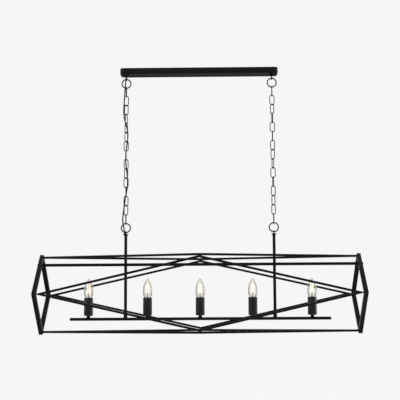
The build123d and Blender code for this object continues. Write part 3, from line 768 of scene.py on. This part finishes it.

# %% [markdown]
# ## The flex
# The supply flex leaves the canopy through its bushing, is woven along the left chain, and goes
# into the left rod beside its eye. Its route is the CAD's, as control points of a NURBS curve,
# which draws one smooth line near them. The curve is made a mesh and cut into stretches. Those
# that lie on one body ride on it. Those that pass a joint keep their place and ride on no body.

# %% The flex as one line
FLEX = 5 * MM
FLEX_ROUTE = [
    (-0.2260, -0.0060, -0.0090), (-0.2350, -0.0060, -0.0090), (-0.2480, -0.0090, -0.0086),
    (-0.2610, -0.0122, -0.0088), (-0.2714, -0.0125, -0.0110), (-0.2740, -0.0125, -0.0165),
    (-0.2740, -0.0125, -0.0265), (-0.2744, -0.0120, -0.0318), (-0.2750, -0.0110, -0.0384),
    (-0.2767, -0.0115, -0.0600), (-0.2783, -0.0113, -0.0800), (-0.2795, -0.0102, -0.1020),
    (-0.2810, -0.0097, -0.1240), (-0.2824, -0.0107, -0.1460), (-0.2826, -0.0128, -0.1660),
    (-0.2807, -0.0149, -0.1840), (-0.2774, -0.0142, -0.2000), (-0.2743, -0.0069, -0.2140),
    (-0.2702, 0.0038, -0.2280), (-0.2690, 0.0124, -0.2440), (-0.2699, 0.0157, -0.2620),
    (-0.2728, 0.0166, -0.2820), (-0.2756, 0.0167, -0.3020), (-0.2770, 0.0162, -0.3220),
    (-0.2767, 0.0134, -0.3400), (-0.2756, 0.0058, -0.3550), (-0.2738, -0.0035, -0.3690),
    (-0.2714, -0.0095, -0.3830), (-0.2694, -0.0113, -0.3980), (-0.2678, -0.0115, -0.4160),
    (-0.2670, -0.0118, -0.4360), (-0.2686, -0.0127, -0.4550), (-0.2720, -0.0134, -0.4720),
    (-0.2751, -0.0121, -0.4880), (-0.2775, -0.0095, -0.5050), (-0.2799, -0.0071, -0.5220),
    (-0.2827, -0.0055, -0.5400), (-0.2847, -0.0050, -0.5580), (-0.2853, -0.0054, -0.5740),
    (-0.2839, -0.0058, -0.5860), (-0.2811, -0.0053, -0.5968), (-0.2800, -0.0055, -0.6065),
    (-0.2790, -0.0055, -0.6130), (-0.27875, -0.0052, -0.6175), (-0.2787, -0.0040, -0.6210),
    (-0.2787, -0.0040, -0.6245),
]

line = bpy.data.curves.new("flex", "CURVE")
line.dimensions = "3D"
spline = line.splines.new("NURBS")
spline.points.add(len(FLEX_ROUTE) - 1)
for point, place in zip(spline.points, FLEX_ROUTE):
    point.co = (*place, 1.0)
spline.order_u = 3
spline.use_endpoint_u = True
spline.resolution_u = 8
line.bevel_depth = FLEX / 2
line.bevel_resolution = 5
line.use_fill_caps = True
flex = bpy.data.objects.new("flex", line)
bpy.context.collection.objects.link(flex)
print("flex through", len(FLEX_ROUTE), "points,", round(spline.calc_length(), 4), "m")
only(flex)
bpy.ops.object.convert(target="MESH")
flex = added("flex")
mended(flex)

# %% The flex in stretches
STRETCHES = (
    ("flex_from_canopy", "canopy", None, 0, -30 * MM, "flex_lead"),
    ("flex_past_canopy_eye", "canopy", "top_rings", -30 * MM, -50 * MM, "flex_lead"),
    ("flex_past_top_ring", "top_rings", "left_hanger", -50 * MM, -90 * MM, "flex_cord"),
    ("flex_on_chain", "left_hanger", None, -90 * MM, -570 * MM, "flex_cord"),
    ("flex_past_last_link", "left_hanger", "lower_rings", -570 * MM, -600 * MM, "flex_cord"),
    ("flex_into_rod", "lower_rings", "fixture", -600 * MM, -626 * MM, "flex_tail"),
)
for name, body, next_body, high_z, low_z, node in STRETCHES:
    stretch = copied(flex, name)
    sliced(stretch, (0, 0, high_z), (0, 0, 1))
    sliced(stretch, (0, 0, low_z), (0, 0, -1))
    mended(stretch)
    bpy.ops.object.shade_smooth_by_angle(angle=radians(40))
    stretch.data.materials.append(pvc_sheath)
    if next_body:
        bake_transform(stretch)
    else:
        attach(stretch, body)
    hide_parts(node)
    print(name, len(stretch.data.polygons), "faces")
bpy.data.objects.remove(flex)

# %% [markdown]
# ## Rods, feet and bars
# The rods are 11 mm tube with 1 mm walls. Each stands in a turned foot that is notched over
# the lamp bar. The hanger bar is flat bar with its long edges eased. It is drilled for the rods.

# %% Rods
ROD_WALL = 1 * MM
EASED = 0.3 * MM
bore, mouth = ROD / 2 - ROD_WALL, ROD / 2 - EASED
rings = [(bore, ROD_TOP), (mouth, ROD_TOP), (ROD / 2, ROD_TOP - EASED), (ROD / 2, FOOT_TOP + EASED),
         (mouth, FOOT_TOP), (bore, FOOT_TOP), (bore, ROD_TOP)]
for side_name, side in SIDES:
    rod = lathed(f"rod_tube_{side_name}", side * HANGER_X, rings)
    settled(rod, "fixture", "black_paint", cage_paint, f"{side_name}_rod")

# %% Feet notched over the lamp bar
def bar_cutter(x=0.0):
    """A cylinder the size of the lamp bar, to notch what sits on it."""
    return drill(x, 0, LAMP_BAR_Z, ROD / 2 + CLEARANCE, depth=100 * MM, turn=pi / 2)


FOOT_RADIUS = 7.25 * MM
rings = [(FOOT_RADIUS, LAMP_BAR_Z), (FOOT_RADIUS, FOOT_TOP - 1 * MM), (FOOT_RADIUS - EASED, FOOT_TOP - EASED)]
rings += profile([(6.25, 0), (4.45, 0), (4.45, 12)], FOOT_TOP)
for side_name, side in SIDES:
    x = side * HANGER_X
    foot = lathed(f"rod_foot_{side_name}", x, rings)
    cut(foot, bar_cutter(x=x))
    softened(foot, width=0.2 * MM, angle=50)
    settled(foot, "fixture", "black_paint", cage_paint, "rod_feet")

# %% Hanger bar
low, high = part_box("hanger_bar")
bar = block("flat_hanger_bar", low, high)
pick(bar, "EDGE", lambda middle, along: abs(along.x) > MOSTLY)
bpy.ops.mesh.bevel(offset=0.8 * MM, segments=3)
bpy.ops.object.mode_set(mode="OBJECT")
for side_name, side in SIDES:
    cut(bar, drill(side * HANGER_X, 0, HANGER_BAR_Z, ROD / 2 + CLEARANCE, depth=30 * MM))
settled(bar, "fixture", "black_paint", cage_paint, "hanger_bar")

# %% [markdown]
# ## Grub screws
# A cup-point grub screw on the front of the hanger bar holds each rod. Only its end shows, with
# a hexagon socket.

# %% Grub screws
KEY_RADIUS = 1.44 * MM
front_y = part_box("rod_grub_screws")[0].y
rings = profile([(1.6, 0), (2.3, 0), (2.5, 0.3), (2.5, 4.3), (1.2, 4.5)])
screw = lathed("grub_screw", 0, rings, segments=32)
bpy.ops.object.select_all(action="DESELECT")
bpy.ops.mesh.primitive_cylinder_add(vertices=6, radius=KEY_RADIUS, depth=4 * MM)
cut(screw, added("key"))
for side_name, side in SIDES:
    place = (side * HANGER_X, front_y, HANGER_BAR_Z)
    twin = copied(screw, f"grub_screw_{side_name}", place, turn=(-pi / 2, 0, 0))
    settled(twin, "fixture", "black_paint", cage_paint, "rod_grub_screws")
bpy.data.objects.remove(screw)

# %% [markdown]
# ## Lamp bar and cup necks
# The lamp bar is the same 11 mm tube, closed at its ends. It is turned upright and laid down.
# Each cup stands on a turned neck that flares into a saddle round the bar. The neck is made
# once and copied to the five lamps, and so are the cups, lampholders and bulbs further on.

# %% Lamp bar
END_CORNER = 1.2 * MM
end_disc = ROD / 2 - 3 * MM
rings = [(end_disc, 0)] + rounded(ROD / 2, 0, END_CORNER)
rings += rounded(ROD / 2, LAMP_BAR_LENGTH, END_CORNER, closing=True) + [(end_disc, LAMP_BAR_LENGTH)]
bar = lathed("round_lamp_bar", 0, rings)
placed(bar, (-LAMP_BAR_LENGTH / 2, 0, LAMP_BAR_Z), (0, pi / 2, 0))
settled(bar, "fixture", "black_paint", cage_paint, "lamp_bar")

# %% Cup necks
def one_per_lamp(piece, name, body, slot, material, node, smooth=32):
    """Copy a piece to the five lamps. Braces in a body or node stand for the lamp's number."""
    for number, x in enumerate(LAMP_X, start=1):
        twin = copied(piece, f"{name}_{number}", (x, 0, 0))
        settled(twin, body.format(number), slot, material, node.format(number), smooth=smooth)
    bpy.data.objects.remove(piece)


NIPPLE_RADIUS = 4.05 * MM
rings = [(NIPPLE_RADIUS, CUP_BOTTOM)]
rings += profile([(6.5, 0), (6.5, -3.4), (6.7, -4.6), (7.4, -5.8), (8, -6.7), (8, -8.2)], CUP_BOTTOM)
neck_foot = CUP_BOTTOM - 8.5 * MM
rings += [(7.7 * MM, neck_foot), (NIPPLE_RADIUS, neck_foot), (NIPPLE_RADIUS, CUP_BOTTOM)]
neck = lathed("neck", 0, rings)
cut(neck, bar_cutter())
one_per_lamp(neck, "cup_neck", "fixture", "black_paint", cage_paint, "lamp_necks")

# %% [markdown]
# ## End frames
# Each end of the cage is a rhombus of 15 mm square tube, mitred and welded. One side is
# modelled: a long cube with rounded long edges, turned to its slope and cut by the two planes
# in which it meets its neighbours. The other seven are mirror images of it.

# %% One side of an end frame
TUBE_CORNER = 1.4 * MM
slope = atan2(CAGE_HALF_HEIGHT, END_HALF_DEPTH)
side_length = hypot(CAGE_HALF_HEIGHT, END_HALF_DEPTH)
half_tube = END_TUBE / 2
tube = block(
    "end_tube",
    (-half_tube, -side_length / 2 - END_TUBE, -half_tube),
    (half_tube, side_length / 2 + END_TUBE, half_tube),
)
pick(tube, "EDGE", lambda middle, along: abs(along.y) > MOSTLY)
bpy.ops.mesh.bevel(offset=TUBE_CORNER, segments=4)
bpy.ops.object.mode_set(mode="OBJECT")
placed(tube, (-END_X, -END_HALF_DEPTH / 2, CAGE_Z + CAGE_HALF_HEIGHT / 2), (slope, 0, 0))
sliced(tube, (0, 0, 0), (0, 1, 0))
sliced(tube, (0, 0, CAGE_Z), (0, 0, -1))
mended(tube)
softened(tube, width=0.35 * MM, angle=40)
print("end tube", [round(side / MM, 1) for side in tube.dimensions])

# %% The eight sides of the end frames
DEPTHS = (("front", 1), ("back", -1))
LEVELS = (("upper", 1), ("lower", -1))


def mirror_image(piece, name, node, flip):
    """A copy of a bar of the cage, turned over through the cage's middle where a flip is -1."""
    rise = 0 if flip[2] > 0 else 2 * CAGE_Z
    twin = copied(piece, name, (0, 0, rise), flip=flip)
    settled(twin, "fixture", "black_paint", cage_paint, node)


for side_name, side in SIDES:
    for depth_name, depth in DEPTHS:
        for level_name, level in LEVELS:
            words = f"{side_name}_{depth_name}_{level_name}"
            mirror_image(tube, f"end_{words}", f"{words}_tube", (-side, depth, level))
bpy.data.objects.remove(tube)

# %% [markdown]
# ## Rails
# Eight bent rails of 8 mm square bar join the end frames: two each for the top, the bottom,
# the front and the back of the cage. A rail is two straight legs that meet in a mitre at the
# cage's middle. One leg is set along its line with its flat in the plane of its pair. It is
# cut where it meets its twin, the end frame and the other leg, and mirrored.

# %% A rail's leg
RAIL_CORNER = 0.6 * MM


def rail_leg(name, tip, middle, apex):
    """A square bar from an end frame to the cage's middle, with its flats in its pair's plane."""
    tip, middle, apex = Vector(tip), Vector(middle), Vector(apex)
    along = (apex - tip).normalized()
    flat = (tip - middle).cross(apex - middle).normalized()
    reach = (apex - tip).length / 2 + 3 * RAIL
    leg = block(name, (-RAIL / 2, -reach, -RAIL / 2), (RAIL / 2, reach, RAIL / 2))
    pick(leg, "EDGE", lambda point, direction: abs(direction.y) > MOSTLY)
    bpy.ops.mesh.bevel(offset=RAIL_CORNER, segments=2)
    bpy.ops.object.mode_set(mode="OBJECT")
    turn = Matrix((along.cross(flat), along, flat)).transposed().to_4x4()
    leg.matrix_world = Matrix.Translation((tip + apex) / 2) @ turn
    only(leg)
    bpy.ops.object.transform_apply(location=True, rotation=True, scale=True)
    sliced(leg, (-(END_X - END_TUBE / 2), 0, 0), (-1, 0, 0))
    return leg


def mirrored_rail(leg):
    """Both legs of a rail, from one that is cut at the middle."""
    only(leg)
    bpy.ops.object.mode_set(mode="EDIT")
    bpy.ops.mesh.select_all(action="SELECT")
    bpy.ops.mesh.bisect(plane_co=(0, 0, 0), plane_no=(1, 0, 0), clear_outer=True)
    bpy.ops.object.mode_set(mode="OBJECT")
    modified(leg, "MIRROR", use_axis=(True, False, False), use_clip=True, merge_threshold=NEAR)
    mended(leg)
    softened(leg, width=0.2 * MM, angle=60)


# %% Top and bottom rails
top = CAGE_Z + CAGE_HALF_HEIGHT
rail = rail_leg("rail", (-RAIL_TIP_X, 0, top), (0, 0, top), (0, -MIDDLE_HALF_DEPTH, top))
sliced(rail, (0, 0, 0), (0, 1, 0))
mirrored_rail(rail)
for level_name, level in (("top", 1), ("bottom", -1)):
    for depth_name, depth in DEPTHS:
        words = f"{level_name}_{depth_name}"
        mirror_image(rail, f"rail_{words}", f"{words}_rail", (1, depth, level))
bpy.data.objects.remove(rail)

# %% Front and back rails
rail = rail_leg(
    "rail", (-RAIL_TIP_X, -END_HALF_DEPTH, CAGE_Z), (0, -MIDDLE_HALF_DEPTH, CAGE_Z),
    (0, -MIDDLE_HALF_DEPTH, CAGE_Z + MIDDLE_HALF_HEIGHT),
)
sliced(rail, (0, 0, CAGE_Z), (0, 0, -1))
sliced(rail, (0, 0, top - RAIL / 2), (0, 0, 1))
mirrored_rail(rail)
for depth_name, depth in DEPTHS:
    for level_name, level in LEVELS:
        words = f"{depth_name}_{level_name}"
        mirror_image(rail, f"rail_{words}", f"{words}_rail", (1, depth, level))
bpy.data.objects.remove(rail)

# %% [markdown]
# ## End plates and cap nuts
# A short crosspiece near the top of each end frame carries the hanger bar, with a cap nut
# outside. The plate is a cube whose top is drawn in to the frame's slope. The nut is a hexagon
# with eased corners and a domed cap, on a stud that goes through the frame.

# %% Crosspieces
low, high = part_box("end_crosspieces")
plate = block("plate", (-high.x, low.y, low.z), (-(2 * END_X - high.x), high.y, high.z))
pick(plate, "FACE", lambda middle, normal: normal.z > MOSTLY)
narrower = (high.z - low.z) / CAGE_HALF_HEIGHT * END_HALF_DEPTH
ratio = (high.y - narrower) / high.y
bpy.ops.transform.resize(value=(1, ratio, 1), center_override=(-END_X, 0, high.z))
bpy.ops.object.mode_set(mode="OBJECT")
softened(plate, width=0.5 * MM)
for side_name, side in SIDES:
    twin = copied(plate, f"end_plate_{side_name}", flip=(-side, 1, 1))
    settled(twin, "fixture", "black_paint", cage_paint, "end_crosspieces")
bpy.data.objects.remove(plate)

# %% Cap nuts
NUT_RADIUS = 5.77 * MM
NUT_HEIGHT = 6.5 * MM
DOME_STEPS = 7
bpy.ops.object.select_all(action="DESELECT")
bpy.ops.mesh.primitive_cylinder_add(
    vertices=6, radius=NUT_RADIUS, depth=NUT_HEIGHT, location=(0, 0, NUT_HEIGHT / 2)
)
nut = added("nut")
softened(nut, width=0.4 * MM)
angles = [pi / 2 * step / DOME_STEPS for step in range(1, DOME_STEPS)]
dome_line = [(4.6 * cos(angle), 6.9 + 4 * sin(angle)) for angle in angles]
dome = lathed("dome", 0, profile([(4.6, 6), (4.6, 6.9)] + dome_line + [(0, 10.9)]), segments=32)
stud = lathed("stud", 0, profile([(3, -30), (3, 0)]), segments=24)
nut = joined("nut", [nut, dome, stud])
for side_name, side in SIDES:
    place, turn = (side * high.x, 0, HANGER_BAR_Z), (0, side * pi / 2, 0)
    twin = copied(nut, f"cap_nut_{side_name}", place, turn)
    settled(twin, "fixture", "black_paint", cage_paint, "end_bolts")
bpy.data.objects.remove(nut)

# %% [markdown]
# ## Candle cups and lampholders
# A cup is a drawn steel tube with a closed, rounded bottom. It is turned ring by ring, up the
# outside, over the lip and down the inside. The lampholder in it is moulded, with a shoulder
# near its top that centres the cup.

# %% Candle cups
CUP_RADIUS = 16.5 * MM
CUP_CORNER = 4 * MM
CUP_FLOOR = CUP_BOTTOM + 2 * MM
CUP_INSIDE = CUP_RADIUS - 1.2 * MM
LIP = 0.35 * MM
rings = [(NIPPLE_RADIUS, CUP_BOTTOM)] + rounded(CUP_RADIUS, CUP_BOTTOM, CUP_CORNER)
rings += rounded(CUP_RADIUS, CUP_TOP, 0.45 * MM, closing=True, steps=3)
rings += [(CUP_INSIDE + LIP, CUP_TOP), (CUP_INSIDE, CUP_TOP - LIP)]
rings += [(CUP_INSIDE, CUP_FLOOR), (NIPPLE_RADIUS, CUP_FLOOR), (NIPPLE_RADIUS, CUP_BOTTOM)]
cup = lathed("cup", 0, rings, segments=64)
one_per_lamp(cup, "candle_cup", "fixture", "black_paint", cup_paint, "lamp_cup_{}")

# %% Lampholders
HOLDER_RADIUS = 12 * MM
HOLDER_TOP = CAP_TOP - 6 * MM
SOCKET_RADIUS = 7.35 * MM
SOCKET_FLOOR = CAP_BOTTOM - 2 * MM
# A stem down into the bar, the holder's wall with its shoulder, and the socket inside.
rings = profile([(2, 2), (4, 2)], LAMP_BAR_Z)
rings += profile([(4, 0), (9.5, 0), (9.5, 22), (12, 24)], CUP_FLOOR)
rings += rounded(HOLDER_RADIUS, HOLDER_TOP, 0.8 * MM, closing=True, steps=3)
rings += [(SOCKET_RADIUS + 0.6 * MM, HOLDER_TOP), (SOCKET_RADIUS, HOLDER_TOP - 0.6 * MM)]
rings += [(SOCKET_RADIUS, SOCKET_FLOOR), (2 * MM, SOCKET_FLOOR)]
holder = lathed("holder", 0, rings)
one_per_lamp(holder, "lampholder", "fixture", "black_plastic", thermoset, "lampholders")

# %% [markdown]
# ## Candle bulbs
# The envelope's outline is three Bezier arcs: out from the neck, over the shoulder, and up to
# the drawn tip. It is turned ring by ring and given the glass's thickness inwards. The cap has
# a rolled thread, which a wave in its rings draws. Inside are the glass stem, its small hub and
# four filament sticks, with the wires that join their tops.

# %% Bulb envelope
GLASS_WALL = 0.9 * MM
neck, widest, shoulder, tip = (
    Vector((8.4, 0, -861)) * MM, Vector((17.5, 0, -832)) * MM,
    Vector((11.2, 0, -803.8)) * MM, Vector((0, 0, -785.8)) * MM,
)
arcs = [
    (neck, neck + Vector((7.0, 0, 9.3)) * MM, widest - Vector((0, 0, 11)) * MM, widest),
    (widest, widest + Vector((0, 0, 11)) * MM, shoulder - Vector((-3.3, 0, 7.3)) * MM, shoulder),
    (shoulder, shoulder + Vector((-2.9, 0, 6.4)) * MM, tip + Vector((3.4, 0, -2.6)) * MM, tip),
]
outline = [(neck.x, neck.z)]
for arc in arcs:
    outline += [(point.x, point.z) for point in interpolate_bezier(*arc, 10)[1:]]
outline[-1] = (0, outline[-1][1])
envelope = lathed("envelope", 0, outline, filled=False)
modified(envelope, "SOLIDIFY", thickness=GLASS_WALL, offset=-1.0, use_even_offset=True)
one_per_lamp(
    envelope, "candle_envelope", "bulb_{}", "clear_glass", soda_lime_glass, "bulb_{}_glass", smooth=60
)

# %% Bulb cap
THREAD_RADIUS = 7.0 * MM
THREAD_DEPTH = 0.35 * MM
THREAD_PITCH = 2.82 * MM
THREAD_TURNS = 5
THREAD_STEPS = 8
# From the contact at the bottom, up the thread, to the rim in which the glass sits.
rings = profile([(1.2, -1), (2.5, -0.7), (3.2, 0), (5.8, 2.6)], CAP_BOTTOM)
for step in range(THREAD_TURNS * THREAD_STEPS + 1):
    depth = THREAD_DEPTH * (1 - cos(2 * pi * step / THREAD_STEPS))
    rings.append((THREAD_RADIUS - depth, CAP_BOTTOM + 4 * MM + THREAD_PITCH * step / THREAD_STEPS))
rings += profile([(7.2, -3), (8.3, -0.4), (8.35, 0), (2.6, 0)], CAP_TOP)
cap = lathed("cap", 0, rings)
print("cap", len(cap.data.polygons), "faces")

# %% Stem, hub and filaments
HUB_Z = CAP_TOP + 20 * MM
HUB_HALF = 4.4 * MM
WIRE_TOP = HUB_Z + 30.8 * MM
BRIDGE_WIRE = 0.4 * MM
STICK_OFFSET = 3.8 * MM
rings = profile([(4.2, -20), (2.6, -17), (2.1, -8), (1.6, -1), (1, 0)], HUB_Z)
stem = lathed("stem", 0, rings, segments=24)
hub = block("hub", (-HUB_HALF, -HUB_HALF, HUB_Z), (HUB_HALF, HUB_HALF, HUB_Z + 0.7 * MM))
softened(hub, width=0.3 * MM)
wire = lathed("wire", 0, profile([(0.35, 0), (0.35, 30.8)], HUB_Z), segments=8)
corners = (-STICK_OFFSET, STICK_OFFSET)
bridges = [
    block(
        "bridge", (x - BRIDGE_WIRE / 2, -STICK_OFFSET, WIRE_TOP - BRIDGE_WIRE),
        (x + BRIDGE_WIRE / 2, STICK_OFFSET, WIRE_TOP),
    )
    for x in corners
]
carrier = joined("carrier", [hub, wire] + bridges)
rings = profile([(0.25, 0.8), (0.8, 1.6), (0.8, 29.6), (0.25, 30.6)], HUB_Z)
sticks = [lathed("stick", x, rings, y=y, segments=12) for x in corners for y in corners]
filaments = joined("filaments", sticks)
print("stem, hub and filaments", [len(part.data.polygons) for part in (stem, carrier, filaments)], "faces")

# %% The five bulbs
BULB_PARTS = (
    (cap, "candle_cap", "nickel_cap", nickel_plate),
    (stem, "candle_stem", "clear_glass", soda_lime_glass),
    (carrier, "candle_hub", "nickel_cap", nickel_plate),
    (filaments, "candle_filaments", "clear_glass", phosphor),
)
for number, x in enumerate(LAMP_X, start=1):
    for part, name, slot, material in BULB_PARTS:
        twin = copied(part, f"{name}_{number}", (x, 0, 0))
        settled(twin, f"bulb_{number}", slot, material, f"bulb_{number}_base")
for part in (cap, stem, carrier, filaments):
    bpy.data.objects.remove(part)

# %% [markdown]
# ## What stays as the CAD has it
# The strap, the locknuts, the connector and the bushing are plain shapes inside or under the
# canopy. Their CAD meshes are right, so they only get their materials.

# %% Materials for the CAD pieces that stay
for name, material in (
    ("ceiling_bracket", zinc_plate), ("loop_locknuts", zinc_plate),
    ("terminal_block", polyamide), ("cord_bushing", thermoset),
):
    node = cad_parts[name]
    node.data.materials.clear()
    node.data.materials.append(material)
    print(name, "in", material.name)

# %% [markdown]
# ## Floor, light and background
# The photograph is a cut-out on pale grey. The background colour is what the camera, mirror
# reflections and glass see of the world, at a strength of 1. All other light is softer, so
# that black paint stays black. The floor lies 6 m down, as under a high ceiling, so the lamps
# near the pendant don't brighten it in one place. It is grey where light falls on it, so that
# it keeps a shadow, and is lifted for the camera until it is as pale as the rest. The lamps
# themselves are seen neither by the camera nor through the glass.

# %% Floor
FLOOR_Z = -6.0
FLOOR_RADIUS = 120
FLOOR_LIFT = 0.64
FLOOR_GRAIN = 100 / 3 * MM
bpy.ops.object.select_all(action="DESELECT")
bpy.ops.mesh.primitive_circle_add(
    vertices=96, radius=FLOOR_RADIUS, location=(0, 0, FLOOR_Z), fill_type="NGON"
)
floor = added("floor")
floor_matt, tree = blank("matt_pale_floor")
place = add(tree, "ShaderNodeTexCoord", {})
grain = add(tree, "ShaderNodeTexNoise", {"Vector": place.outputs["Object"], "Scale": 1 / FLOOR_GRAIN})
shade = add(
    tree, "ShaderNodeValToRGB",
    {"Fac": grain.outputs["Fac"], "stops": ((0, "#9c9c9c"), (1, "#a1a1a1"))},
)
ray = add(tree, "ShaderNodeLightPath", {})
lift = add(
    tree, "ShaderNodeMath",
    {"operation": "MULTIPLY", 0: ray.outputs["Is Camera Ray"], 1: FLOOR_LIFT},
)
matt = add(
    tree, "ShaderNodeBsdfPrincipled",
    {
        "Base Color": shade.outputs["Color"], "Roughness": 0.9, "Specular IOR Level": 0.0,
        "Emission Color": colour("#ffffff"), "Emission Strength": lift.outputs[0],
    },
)
add(tree, "ShaderNodeOutputMaterial", {"Surface": matt.outputs["BSDF"]})
floor.data.materials.append(floor_matt)
print("floor at", FLOOR_Z, "m")

# %% World
world = bpy.data.worlds.new("pale_studio")
bpy.context.scene.world = world
world.use_nodes = True
tree = world.node_tree
tree.nodes.clear()
ray = add(tree, "ShaderNodeLightPath", {})
camera_or_mirror = add(
    tree, "ShaderNodeMath",
    {"operation": "MAXIMUM", 0: ray.outputs["Is Camera Ray"], 1: ray.outputs["Is Glossy Ray"]},
)
seen = add(
    tree, "ShaderNodeMath",
    {"operation": "MAXIMUM", 0: camera_or_mirror.outputs[0], 1: ray.outputs["Is Transmission Ray"]},
)
backdrop = add(tree, "ShaderNodeBackground", {"Color": colour("#f6f6f6"), "Strength": 1.0})
ambient = add(tree, "ShaderNodeBackground", {"Color": colour("#ffffff"), "Strength": 0.6})
chosen = add(
    tree, "ShaderNodeMixShader",
    {0: seen.outputs[0], 1: ambient.outputs[0], 2: backdrop.outputs[0]},
)
add(tree, "ShaderNodeOutputWorld", {"Surface": chosen.outputs[0]})
print("world", world.name)

# %% Lamps
def lamp(name, kind, place, aim, **settings):
    """A lamp at a place, aimed at a point, and hidden from the camera and from rays in glass."""
    light = bpy.data.lights.new(name, kind)
    for setting, value in settings.items():
        setattr(light, setting, value)
    holder = bpy.data.objects.new(name, light)
    bpy.context.collection.objects.link(holder)
    holder.location = place
    holder.rotation_euler = (Vector(aim) - Vector(place)).to_track_quat("-Z", "Y").to_euler()
    holder.visible_camera = holder.visible_transmission = False
    print(name, kind, light.energy)


lamp("soft_sun", "SUN", (-2.0, -2.4, 1.6), (0, 0, -0.7), energy=1.2, angle=radians(35))
lamp("right_side", "AREA", (2.8, 0.3, -0.5), (0, 0, -0.8), energy=60, size=2.6)
lamp("left_side", "AREA", (-2.8, -0.6, -0.5), (0, 0, -0.8), energy=16, size=2.0)
lamp("from_below", "AREA", (0.2, -0.9, -2.1), (0, 0, -0.6), energy=22, size=1.8)
lamp("rim", "AREA", (0.6, 2.6, 0.6), (0, 0, -0.7), energy=12, size=1.2)

# %% [markdown]
# ## Camera
# The camera stands below the pendant's middle height and looks up a little, as in the
# photograph: its place, turn and lens come from fitting the cage's corners to the picture.

# %% Camera
CAMERA_PLACE = (0.0446, -3.3005, -0.8892)
CAMERA_PAN, CAMERA_PITCH, CAMERA_ROLL = radians(0.75), radians(96.774), radians(-0.303)
camera = bpy.data.objects.new("camera", bpy.data.cameras.new("camera"))
bpy.context.collection.objects.link(camera)
camera.data.lens = 80.5
camera.data.sensor_width = 36
turn = Matrix.Rotation(CAMERA_PAN, 4, "Z") @ Matrix.Rotation(CAMERA_PITCH, 4, "X")
turn = turn @ Matrix.Rotation(CAMERA_ROLL, 4, "Z")
camera.matrix_world = Matrix.Translation(CAMERA_PLACE) @ turn
bpy.context.scene.camera = camera
bpy.context.scene.view_settings.view_transform = "Standard"
print("camera at", [round(part, 3) for part in camera.location])
